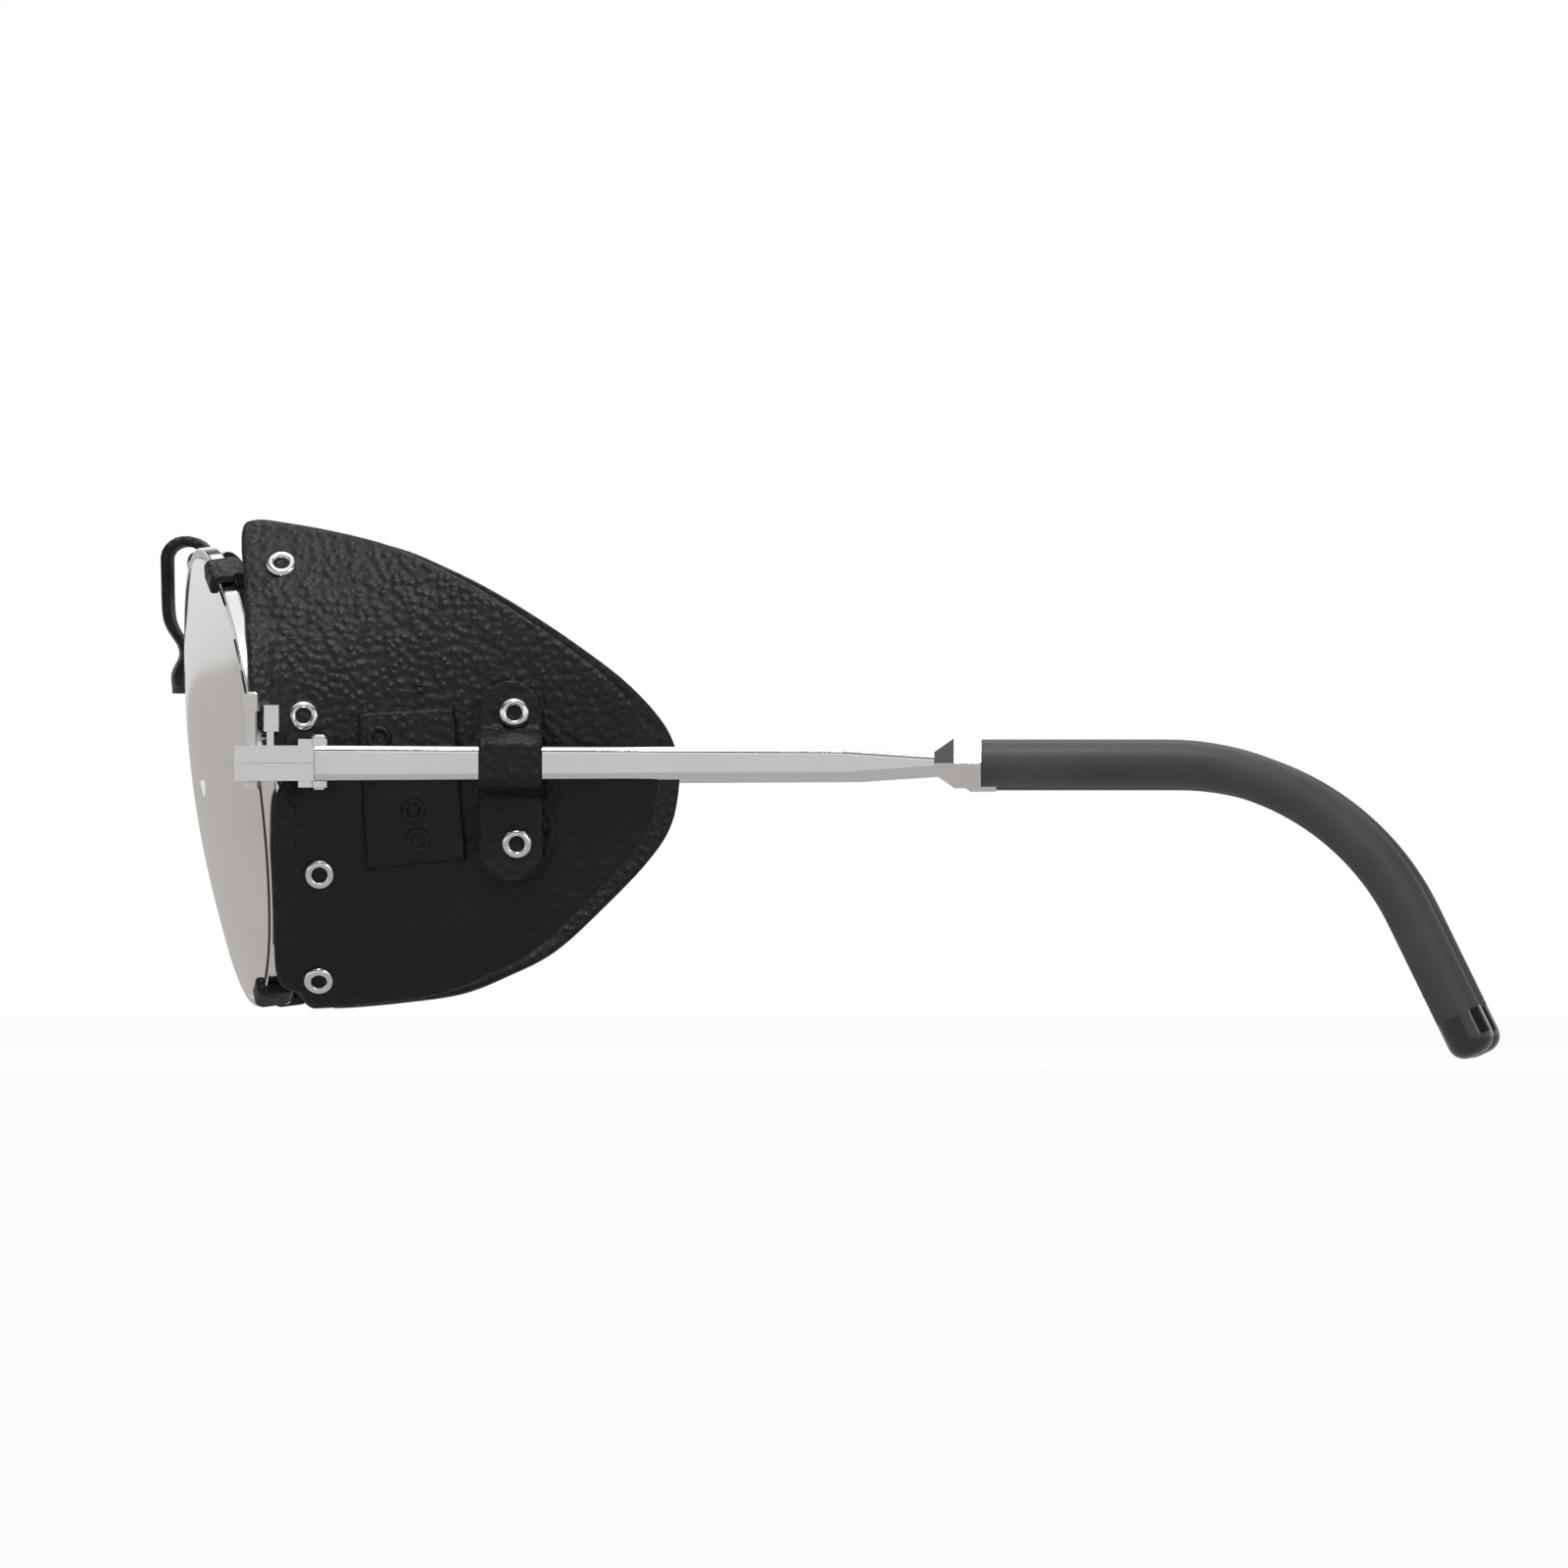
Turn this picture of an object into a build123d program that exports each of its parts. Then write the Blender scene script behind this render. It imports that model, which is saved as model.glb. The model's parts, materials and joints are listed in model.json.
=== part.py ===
from build123d import *
import os
from math import asin, cos, degrees, radians, sin, sqrt

os.makedirs("parts", exist_ok=True)

# Glacier glasses: round mirrored lenses, chrome frame, leather side shields and nose guard.
# +X is the wearer's left, -Y is forward, +Z is up. The origin is under the middle of the
# whole, at the height of the ear tips' lowest points. All sizes are millimetres.

# Overall
front_depth = 18.2        # hinge axis to the foremost point of the nose guard
temple_length = 133.2     # hinge axis to the rearmost point of an ear tip
hinge_x = 65.9            # hinge axis to the middle plane
seat = 0.3                # gap between a soft piece and what it lies on

# Lens and rim
lens_diameter = 51.0
bridge_width = 23.0       # between the two lenses
lens_thickness = 2.0
lens_curve = 115.0        # radius of the lens's front surface
bevel = 0.35              # height of the lens's edge tongue
bevel_width = 0.7
groove_clearance = 0.05
rim_wall = 0.75
rim_depth = 1.7
rim_round = 0.2
wrap = 9.5                # turn of each lens towards the temple, degrees
tilt = 7.3                # lean of each lens, bottom towards the cheek, degrees
rim_lead = 10.3           # rim centre ahead of the hinge axis
rim_drop = 1.4            # rim centre below the arm's centre line

# Arm, ferrule and ear tip
arm_gap = 1.3             # hinge axis to the arm's inner face
arm_thickness = 1.7
arm_height = 4.1
arm_mid_height = 3.5
arm_neck_height = 2.1
arm_start = 0.5           # arm's front end ahead of the hinge axis
arm_mid = 59.4            # where the arm starts to narrow
arm_end = 69.8
ferrule_cone = 2.3
ferrule_length = 5.3
ferrule_radius = 2.85     # across its flats
ferrule_neck = 1.25
sleeve_diameter = 5.4
core_diameter = 1.4
core_clearance = 0.05
straight_tip = 21.1       # ferrule to the start of the ear bend
bend_radius = 30.6
bend_angle = 64.0
cap_length = 5.0
cap_round = 2.0

# Hinge
barrel_radius = 1.2
barrel_height = 5.5
knuckle_gap = 0.1
pin_radius = 0.5
pin_clearance = 0.05
screw_head_radius = 0.95
screw_head_height = 0.5
leaf_thickness = 0.8
leaf_length = 5.0
leaf_height = 3.2
leaf_start = 1.5

# End piece and closing screw
end_height = 4.0
end_front = 9.6           # distances ahead of the hinge axis
end_block = 4.4
end_back = 2.4
end_reach = 3.9           # front block's inner face inboard of the hinge axis
end_inner = 2.6           # rear block's inner face inboard of the hinge axis
butt_gap = 0.06
seam = 0.04
closing_lead = 7.7
closing_x = 0.4           # closing screw inboard of the hinge axis
closing_radius = 0.6
closing_tail = 0.9
closing_rise = 3.9
knob_radius = 0.9
knob_height = 2.2
lock_size = (2.0, 2.1, 3.0)
lock_lead = 5.6
lock_neck = 1.6

# Bridge, nose guard and pads
bar_radius = 0.8
bar_angle = 115.0         # where the bar meets each rim, up from the temple side
bar_bow = 1.0
guard_thickness = 1.2
guard_gap = 0.6
guard_drop = 15.4
guard_tuck = 4.0
guard_top = 13.0          # half widths
guard_bottom = 9.0
guard_corner = 2.5
pad_length = 12.0
pad_width = 6.4
pad_thickness = 2.4
pad_x = 8.8
pad_lead = 8.6            # pad centre ahead of the hinge axis
pad_drop = 5.0            # pad centre below the rim centre
pad_splay = 37.0
pad_wire_radius = 0.45

# Leather
leather = 1.2
shield_reach = 38.6       # behind the hinge axis
shield_front = 9.2        # ahead of the hinge axis
shield_rise = 28.6        # above the rim centre
shield_fall = 25.9
shield_inset_front = 4.6  # inner face inboard of the hinge axis
shield_inset_rear = 1.6
shield_round_front = 35.5  # radii of the shield's curve about a fore-and-aft line
shield_round_rear = 160.0
strap_front = 18.1
strap_width = 7.2
strap_rise = 9.4          # above and below the arm's centre line
strap_fall = 13.5
strap_inset = 0.9
strap_shoulder = 0.4
loop_arc = 9.0
loop_angles = {"upper": 61.0, "lower": -69.0}
eyelet_radius = 1.75
eyelet_hole = 0.95
eyelet_tube = 1.25
eyelet_flange = 0.35
front_eyelets = ((-4.6, 23.3), (-1.9, 6.6), (-0.1, -10.9), (-0.3, -22.6))
strap_eyelets = ((22.1, 6.8), (22.4, -7.4))
panel_thickness = 0.5
panel_corners = ((4.1, 6.8), (15.2, 7.6), (16.6, -9.2), (5.4, -10.3))
panel_round = 1.2

# Derived places
turn = radians(bend_angle)
hinge_y = (front_depth - temple_length) / 2
ferrule_end = arm_end + ferrule_length
bend_start = ferrule_end + straight_tip
cap_radius = sleeve_diameter / 2
cap_behind = cap_round + (cap_radius - cap_round) * sin(turn) - cap_round * cos(turn)
cap_below = cap_round + (cap_radius - cap_round) * cos(turn) - cap_round * sin(turn)
tip_run = (temple_length - cap_behind - bend_start - bend_radius * sin(turn)) / cos(turn)
arm_z = bend_radius * (1 - cos(turn)) + tip_run * sin(turn) + cap_below
arm_x = hinge_x + arm_gap + arm_thickness / 2
lens_edge = lens_diameter / 2 - bevel
rim_inner = lens_edge + groove_clearance
groove_radius = lens_diameter / 2 + groove_clearance
rim_outer = groove_radius + rim_wall
rim_x = (bridge_width + lens_diameter) / 2
rim_y = hinge_y - rim_lead
rim_z = arm_z - rim_drop
bar_y = hinge_y - front_depth + guard_thickness + guard_gap + bar_radius
sides = {"left": 1, "right": -1}
BASE = (Align.CENTER, Align.CENTER, Align.MIN)


def lens_plane(side):
    """Plane through a rim's middle: local x towards the temple or nose, z forward."""
    lean = radians(tilt)
    swing = radians(wrap)
    normal = Vector(side * sin(swing) * cos(lean), -cos(swing) * cos(lean), -sin(lean))
    across = Vector(0, 0, 1).cross(normal)
    return Plane(origin=(side * rim_x, rim_y, rim_z), x_dir=across, z_dir=normal)


def radial(side, angle):
    """Direction from a rim's centre, at an angle up from its temple side."""
    plane = lens_plane(side)
    outward = plane.x_dir * (side if plane.x_dir.X > 0 else -side)
    return outward * cos(radians(angle)) + plane.y_dir * sin(radians(angle))


def section_plane(side, angle=0.0):
    """Plane through the lens axis: local x is radial, and local y runs forward."""
    plane = lens_plane(side)
    out = radial(side, angle)
    return Plane(origin=plane.origin, x_dir=out, z_dir=out.cross(plane.z_dir))


def lens_axis(side):
    plane = lens_plane(side)
    return Axis(plane.origin, plane.z_dir)


def box_between(x_range, y_range, z_range, mode=Mode.ADD):
    """A box between limits given from the hinge axis and the arm's centre line."""
    low_x, high_x = sorted(x_range)
    with Locations(((low_x + high_x) / 2, hinge_y + sum(y_range) / 2, arm_z + sum(z_range) / 2)):
        Box(high_x - low_x, y_range[1] - y_range[0], z_range[1] - z_range[0], mode=mode)


def outboard(side, near, far):
    """X limits from two distances outboard of the hinge axis."""
    return side * (hinge_x + near), side * (hinge_x + far)


def post(side, inset, lead, radius, low, high, mode=Mode.ADD):
    """An upright cylinder, its heights given from the arm's centre line."""
    with Locations((side * (hinge_x - inset), hinge_y - lead, arm_z + low)):
        Cylinder(radius, high - low, align=BASE, mode=mode)


def cut_shape(shape):
    add(shape, mode=Mode.SUBTRACT)


def cross_plane(side, behind, height=0.0):
    """Plane across the temple at a distance behind the hinge axis, looking back."""
    return Plane(origin=(side * arm_x, hinge_y + behind, height), x_dir=(1, 0, 0), z_dir=(0, 1, 0))


def shield_face(side, behind, height):
    """Point on a shield's inner face and the outward direction there."""
    share = (behind + shield_front) / (shield_front + shield_reach)
    inset = shield_inset_front + (shield_inset_rear - shield_inset_front) * share
    falls = [r - sqrt(r**2 - height**2) for r in (shield_round_front, shield_round_rear)]
    slopes = [asin(height / r) for r in (shield_round_front, shield_round_rear)]
    fall = falls[0] + (falls[1] - falls[0]) * share
    slope = slopes[0] + (slopes[1] - slopes[0]) * share
    point = Vector(side * (hinge_x - inset - fall), hinge_y + behind, rim_z + height)
    return point, Vector(side * cos(slope), 0, sin(slope))


def finish(build, name):
    build.part.label = name
    export_step(build.part, f"parts/{name}.step")


# Rims and lenses
lens_sag = lens_curve - sqrt(lens_curve**2 - lens_edge**2)
half_lens = lens_thickness / 2
rim_envelopes = {}
for name, side in sides.items():
    with BuildPart() as rim:
        with BuildSketch(section_plane(side)):
            with Locations(((rim_inner + rim_outer) / 2, 0)):
                RectangleRounded(rim_outer - rim_inner, rim_depth, rim_round)
            with Locations((groove_radius / 2, 0)):
                Rectangle(groove_radius, bevel_width + 2 * groove_clearance, mode=Mode.SUBTRACT)
        revolve(axis=lens_axis(side))
    finish(rim, f"{name}_rim")

    with BuildPart() as lens:
        with BuildSketch(section_plane(side)):
            with BuildLine():
                Line((0, lens_sag - half_lens), (0, lens_sag + half_lens))
                RadiusArc((0, lens_sag + half_lens), (lens_edge, half_lens), lens_curve)
                Polyline((lens_edge, half_lens), (lens_edge, bevel_width / 2),
                         (lens_diameter / 2, bevel_width / 2),
                         (lens_diameter / 2, -bevel_width / 2),
                         (lens_edge, -bevel_width / 2), (lens_edge, -half_lens))
                RadiusArc((lens_edge, -half_lens), (0, lens_sag - half_lens), -lens_curve)
            make_face()
        revolve(axis=lens_axis(side))
    finish(lens, f"{name}_lens")

    for key, gap in (("tight", 0.0), ("loose", seat)):
        with BuildPart() as envelope:
            with BuildSketch(lens_plane(side).offset(-rim_depth / 2 - gap)):
                Circle(rim_outer + gap)
            extrude(amount=rim_depth + 2 * gap)
        rim_envelopes[side, key] = envelope.part

# Bridge bar, brazed across the tops of the rims
bar_ends = [Vector(*lens_plane(s).origin) + radial(s, bar_angle) * (rim_outer + bar_radius / 2)
            for s in (1, -1)]
bar_z = bar_ends[0].Z + bar_bow
with BuildPart() as bridge_bar:
    with BuildLine() as bar_path:
        ThreePointArc(bar_ends[0], (0, bar_y, bar_z), bar_ends[1])
    with BuildSketch(Plane(origin=bar_path.line @ 0, z_dir=bar_path.line % 0)):
        Circle(bar_radius)
    sweep()
    for s in sides.values():
        cut_shape(rim_envelopes[s, "tight"])
finish(bridge_bar, "bridge_bar")

# Leather nose guard, folded over the bridge bar and hanging in front of the nose
fold_radius = bar_radius + guard_gap
with BuildPart() as nose_guard:
    with BuildSketch(Plane.YZ):
        with Locations((bar_y, bar_z)):
            Circle(fold_radius + guard_thickness)
        with Locations((bar_y - fold_radius - guard_thickness, bar_z)):
            Rectangle(guard_thickness, guard_drop, align=(Align.MIN, Align.MAX))
        with Locations((bar_y + fold_radius, bar_z)):
            Rectangle(guard_thickness, guard_tuck, align=(Align.MIN, Align.MAX))
        with Locations((bar_y, bar_z)):
            Circle(fold_radius, mode=Mode.SUBTRACT)
            Rectangle(2 * fold_radius, guard_drop, align=(Align.CENTER, Align.MAX),
                      mode=Mode.SUBTRACT)
    extrude(amount=guard_top, both=True)
    with BuildSketch(Plane.XZ):
        with BuildLine():
            low = bar_z - guard_drop
            high = bar_z + fold_radius + guard_thickness
            Polyline((-guard_bottom, low), (guard_bottom, low), (guard_top, high),
                     (-guard_top, high), (-guard_bottom, low))
        outline = make_face()
        fillet(outline.vertices(), guard_corner)
    extrude(amount=front_depth - hinge_y, mode=Mode.INTERSECT)
finish(nose_guard, "nose_guard")

# Nose pads on sprung wires behind the rims
for name, side in sides.items():
    centre = Vector(side * pad_x, hinge_y - pad_lead, rim_z - pad_drop)
    facing = Vector(-side * cos(radians(pad_splay)), sin(radians(pad_splay)), 0)
    with BuildPart() as nose_pad:
        with BuildSketch(Plane(origin=centre, x_dir=(0, 0, 1), z_dir=facing)):
            Ellipse(pad_length / 2, pad_width / 2)
        extrude(amount=pad_thickness / 2, both=True)
        fillet(nose_pad.edges(), pad_thickness * 0.4)
    finish(nose_pad, f"{name}_nose_pad")

    root = Vector(*lens_plane(side).origin) + radial(side, 180) * (rim_inner + rim_outer) / 2
    root = root - lens_plane(side).z_dir * (rim_depth / 2)
    back = centre - facing * (pad_thickness / 2)
    elbow = Vector(back.X + side * 1.6, back.Y - 0.6, back.Z + 1.0)
    with BuildPart() as pad_wire:
        with BuildLine() as wire_path:
            FilletPolyline(root, elbow, back, radius=pad_wire_radius * 2)
        with BuildSketch(Plane(origin=wire_path.line @ 0, z_dir=wire_path.line % 0)):
            Circle(pad_wire_radius)
        sweep()
        cut_shape(rim_envelopes[side, "tight"])
        cut_shape(nose_pad.part)
    finish(pad_wire, f"{name}_pad_wire")

# End pieces that close the rims, with their screws and lock blocks
half_end = end_height / 2
for name, side in sides.items():
    halves = {"upper": (seam / 2, half_end), "lower": (-half_end, -seam / 2)}
    outer = arm_gap + arm_thickness
    for key, heights in halves.items():
        with BuildPart() as end_piece:
            box_between(outboard(side, -end_reach, outer), (-end_front, -end_block), heights)
            box_between(outboard(side, -end_inner, outer), (-end_block, -end_back), heights)
            box_between(outboard(side, arm_gap, outer), (-end_back, -arm_start - butt_gap), heights)
            corners = end_piece.edges().filter_by(Axis.Z).group_by(Axis.Y)[0]
            fillet(corners, 0.8)
            cut_shape(rim_envelopes[side, "tight"])
            post(side, closing_x, closing_lead, closing_radius, *heights, mode=Mode.SUBTRACT)
        finish(end_piece, f"{name}_{key}_end_piece")

    with BuildPart() as closing_screw:
        knob_low = half_end + closing_rise
        post(side, closing_x, closing_lead, closing_radius, -half_end - closing_tail, knob_low)
        post(side, closing_x, closing_lead, knob_radius, knob_low, knob_low + knob_height)
        post(side, closing_x, closing_lead, knob_radius, -half_end - closing_tail, -half_end)
        chamfer(closing_screw.faces().sort_by(Axis.Z)[-1].edges(), 0.25)
    finish(closing_screw, f"{name}_closing_screw")

    with BuildPart() as lock_block:
        width, depth, height = lock_size
        middle = outboard(side, -closing_x - width / 2, -closing_x + width / 2)
        neck = outboard(side, -closing_x - width / 4, -closing_x + width / 4)
        reach = (-lock_lead - depth / 2 + 0.3, -lock_lead + depth / 2)
        box_between(middle, reach, (half_end + lock_neck, half_end + lock_neck + height))
        fillet(lock_block.edges().filter_by(Axis.Z), 0.3)
        box_between(neck, (-lock_lead - 0.4, -lock_lead + 0.4), (half_end, half_end + lock_neck))
    finish(lock_block, f"{name}_lock_block")

# Hinges: a forked front leaf, a single-knuckle temple leaf and a screw through both
third = (barrel_height - 2 * knuckle_gap) / 3
half_barrel = barrel_height / 2
knuckles = {"top": (half_barrel - third, half_barrel), "bottom": (-half_barrel, third - half_barrel)}
bore = pin_radius + pin_clearance
for name, side in sides.items():
    with BuildPart() as front_leaf:
        box_between(outboard(side, -barrel_radius, barrel_radius),
                    (-end_back, -end_back + leaf_thickness), (-half_barrel, half_barrel))
        for heights in knuckles.values():
            box_between(outboard(side, -leaf_thickness, leaf_thickness), (-end_back, 0), heights)
            post(side, 0, 0, barrel_radius, *heights)
        post(side, 0, 0, bore, -half_barrel, half_barrel, mode=Mode.SUBTRACT)
    finish(front_leaf, f"{name}_front_hinge_leaf")

    with BuildPart() as temple_leaf:
        post(side, 0, 0, barrel_radius, -third / 2, third / 2)
        box_between(outboard(side, 0, arm_gap), (0, leaf_start + leaf_thickness),
                    (-third / 2, third / 2))
        box_between(outboard(side, arm_gap - leaf_thickness, arm_gap),
                    (leaf_start, leaf_start + leaf_length), (-leaf_height / 2, leaf_height / 2))
        post(side, 0, 0, bore, -third / 2, third / 2, mode=Mode.SUBTRACT)
    finish(temple_leaf, f"{name}_temple_hinge_leaf")

    with BuildPart() as hinge_screw:
        post(side, 0, 0, pin_radius, -half_barrel, half_barrel)
        post(side, 0, 0, screw_head_radius, half_barrel, half_barrel + screw_head_height)
        chamfer(hinge_screw.faces().sort_by(Axis.Z)[-1].edges(), screw_head_height / 2)
        post(side, 0, 0, screw_head_radius * 0.8, -half_barrel - screw_head_height / 2, -half_barrel)
    finish(hinge_screw, f"{name}_hinge_screw")

# Temples: arm, ferrule, core wire, sleeve and cap
arm_sections = ((-arm_start, arm_height), (arm_mid, arm_mid_height), (arm_end, arm_neck_height))
for name, side in sides.items():
    with BuildPart() as arm:
        for behind, height in arm_sections:
            with BuildSketch(cross_plane(side, behind, arm_z)):
                RectangleRounded(arm_thickness, height, arm_thickness * 0.45)
        loft(ruled=True)
    finish(arm, f"{name}_arm")

    with BuildPart() as ferrule:
        with BuildSketch(cross_plane(side, arm_end, arm_z)):
            RegularPolygon(ferrule_neck, 6, major_radius=False)
        with BuildSketch(cross_plane(side, arm_end + ferrule_cone, arm_z)):
            RegularPolygon(ferrule_radius, 6, major_radius=False)
        loft(ruled=True)
        with BuildSketch(cross_plane(side, arm_end + ferrule_cone, arm_z)):
            RegularPolygon(ferrule_radius, 6, major_radius=False)
        extrude(amount=ferrule_length - ferrule_cone)
        with BuildSketch(cross_plane(side, arm_end, arm_z)):
            Circle(core_diameter / 2)
        extrude(amount=ferrule_length, mode=Mode.SUBTRACT)
    finish(ferrule, f"{name}_ferrule")

    side_plane = Plane(origin=(side * arm_x, hinge_y, arm_z), x_dir=(0, 1, 0), z_dir=(1, 0, 0))
    heading = Vector(0, cos(turn), -sin(turn))
    with BuildLine(side_plane) as sleeve_path:
        Line((ferrule_end, 0), (bend_start, 0))
        bend = JernArc((bend_start, 0), (1, 0), bend_radius, -bend_angle)
        run = tip_run - cap_length
        Line((bend_start + bend_radius * sin(turn), -bend_radius * (1 - cos(turn))),
             (bend_start + bend_radius * sin(turn) + run * cos(turn),
              -bend_radius * (1 - cos(turn)) - run * sin(turn)))
    tip_point = sleeve_path.line @ 1

    with BuildPart() as sleeve:
        with BuildSketch(cross_plane(side, ferrule_end, arm_z)):
            Circle(sleeve_diameter / 2)
            Circle(core_diameter / 2 + core_clearance, mode=Mode.SUBTRACT)
        sweep(path=sleeve_path.line)
    finish(sleeve, f"{name}_ear_sleeve")

    with BuildPart() as core:
        with BuildSketch(cross_plane(side, arm_end, arm_z)):
            Circle(core_diameter / 2)
        extrude(amount=ferrule_length)
        with BuildSketch(cross_plane(side, ferrule_end, arm_z)):
            Circle(core_diameter / 2)
        sweep(path=sleeve_path.line)
    finish(core, f"{name}_core_wire")

    with BuildPart() as cap:
        with BuildSketch(Plane(origin=tip_point, x_dir=(1, 0, 0), z_dir=heading)):
            Circle(cap_radius)
        extrude(amount=cap_length)
        far_edges = cap.edges().sort_by(lambda e: (e.center() - tip_point).dot(heading))[-1]
        fillet(far_edges, cap_round)
    finish(cap, f"{name}_tip_cap")

# Leather side shields, their loops, straps, panels and eyelets
shield_top = ((-5.5, 28.6), (8.3, 25.5), (24.3, 17.0), (35.0, 8.8), (38.6, 0.2))
shield_low = ((38.6, 0.2), (35.0, -9.4), (24.3, -19.7), (8.3, -25.2), (-1.6, -25.9))
shield_edge = ((-1.6, -25.9), (-3.0, -24.0), (-5.2, -21.0), (-5.4, -9.0), (-3.4, -4.0),
               (-3.4, 5.5), (-8.0, 9.0), (-9.2, 26.5), (-5.5, 28.6))


def along_side(points):
    return [(hinge_y + behind, rim_z + height) for behind, height in points]


def eyelet(side, behind, height, depth, start):
    """One flanged tube through the leather, from start outwards along the surface normal."""
    point, normal = shield_face(side, behind, height)
    plane = Plane(origin=point + normal * start, x_dir=(0, 1, 0), z_dir=normal)
    for level, radius, thick in ((0, eyelet_radius, eyelet_flange), (0, eyelet_tube, depth),
                                 (depth - eyelet_flange, eyelet_radius, eyelet_flange)):
        with Locations(plane.offset(level)):
            Cylinder(radius, thick, align=BASE)
    with Locations(plane):
        Cylinder(eyelet_hole, depth, align=BASE, mode=Mode.SUBTRACT)


def eyelet_opening(side, behind, height, reach=5.0):
    """The hole that an eyelet's tube passes through."""
    point, normal = shield_face(side, behind, height)
    with Locations(Plane(origin=point, x_dir=(0, 1, 0), z_dir=normal)):
        Cylinder(eyelet_tube + seat, 2 * reach, mode=Mode.SUBTRACT)


strap_face = -strap_inset
strap_outer = arm_gap + arm_thickness + seat
strap_reach = leather + shield_inset_rear - strap_inset
for name, side in sides.items():
    with BuildPart() as side_shield:
        stations = ((-shield_front - 1, shield_inset_front, shield_round_front),
                    (shield_reach + 1, shield_inset_rear, shield_round_rear))
        for behind, inset, radius in stations:
            top = shield_rise + 1
            fall = radius - sqrt(radius**2 - top**2)
            inner = hinge_x - inset
            plane = Plane(origin=(0, hinge_y + behind, rim_z), x_dir=(side, 0, 0),
                          z_dir=(0, -side, 0))
            with BuildSketch(plane):
                with BuildLine():
                    ThreePointArc((inner - fall, top), (inner, 0), (inner - fall, -top))
                    Line((inner - fall, -top), (inner - fall + leather, -top))
                    ThreePointArc((inner - fall + leather, -top), (inner + leather, 0),
                                  (inner - fall + leather, top))
                    Line((inner - fall + leather, top), (inner - fall, top))
                make_face()
        loft()
        with BuildSketch(Plane.YZ):
            with BuildLine():
                Spline(*along_side(shield_top))
                Spline(*along_side(shield_low))
                Polyline(*along_side(shield_edge))
            make_face()
        extrude(amount=side * (hinge_x + arm_gap), mode=Mode.INTERSECT)
        cut_shape(rim_envelopes[side, "loose"])
        for spot in front_eyelets + strap_eyelets:
            eyelet_opening(side, *spot)
    finish(side_shield, f"{name}_side_shield")

    with BuildPart() as front_set:
        for spot in front_eyelets:
            eyelet(side, *spot, leather + 2 * (seat + eyelet_flange), -seat - eyelet_flange)
    finish(front_set, f"{name}_front_eyelets")

    with BuildPart() as strap_set:
        for spot in strap_eyelets:
            eyelet(side, *spot, 2 * leather + strap_reach + 2 * eyelet_flange,
                   -seat - eyelet_flange)
    finish(strap_set, f"{name}_strap_eyelets")

    with BuildPart() as temple_strap:
        with BuildSketch(Plane(origin=(side * hinge_x, hinge_y + strap_front, arm_z),
                               x_dir=(side, 0, 0), z_dir=(0, -side, 0))):
            reach = arm_height / 2 + seat
            slope = reach + strap_shoulder
            inner_line = ((strap_face, strap_rise), (strap_face, slope), (strap_outer, reach),
                          (strap_outer, -reach), (strap_face, -slope), (strap_face, -strap_fall))
            edge = leather * 0.55
            outer_line = ((strap_face + leather, -strap_fall), (strap_face + leather, -slope - edge),
                          (strap_outer + leather, -reach - edge),
                          (strap_outer + leather, reach + edge),
                          (strap_face + leather, slope + edge), (strap_face + leather, strap_rise))
            with BuildLine():
                Polyline(*inner_line, *outer_line, inner_line[0])
            make_face()
        extrude(amount=-side * strap_width)
        for spot in strap_eyelets:
            eyelet_opening(side, *spot)
    finish(temple_strap, f"{name}_temple_strap")

    with BuildPart() as vent_panel:
        with BuildSketch(Plane.YZ.offset(side * (hinge_x - 1.6))):
            with BuildLine():
                Polyline(*along_side(panel_corners + panel_corners[:1]))
            quad = make_face()
            fillet(quad.vertices(), panel_round)
        extrude(amount=side * panel_thickness)
    finish(vent_panel, f"{name}_vent_panel")

    for key, angle in loop_angles.items():
        with BuildPart() as rim_loop:
            with BuildSketch(section_plane(side, angle - side * loop_arc / 2)):
                outer_edge = rim_outer + seat + leather
                with Locations(((rim_inner + outer_edge) / 2 + seat, 0)):
                    Rectangle(outer_edge - rim_inner, rim_depth + 2 * (seat + leather))
                with Locations(((rim_inner + rim_outer + seat) / 2, 0)):
                    Rectangle(rim_outer + seat - rim_inner, rim_depth + 2 * seat,
                              mode=Mode.SUBTRACT)
            revolve(axis=lens_axis(side), revolution_arc=loop_arc)
        finish(rim_loop, f"{name}_{key}_rim_loop")
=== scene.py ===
import json
import math

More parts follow.
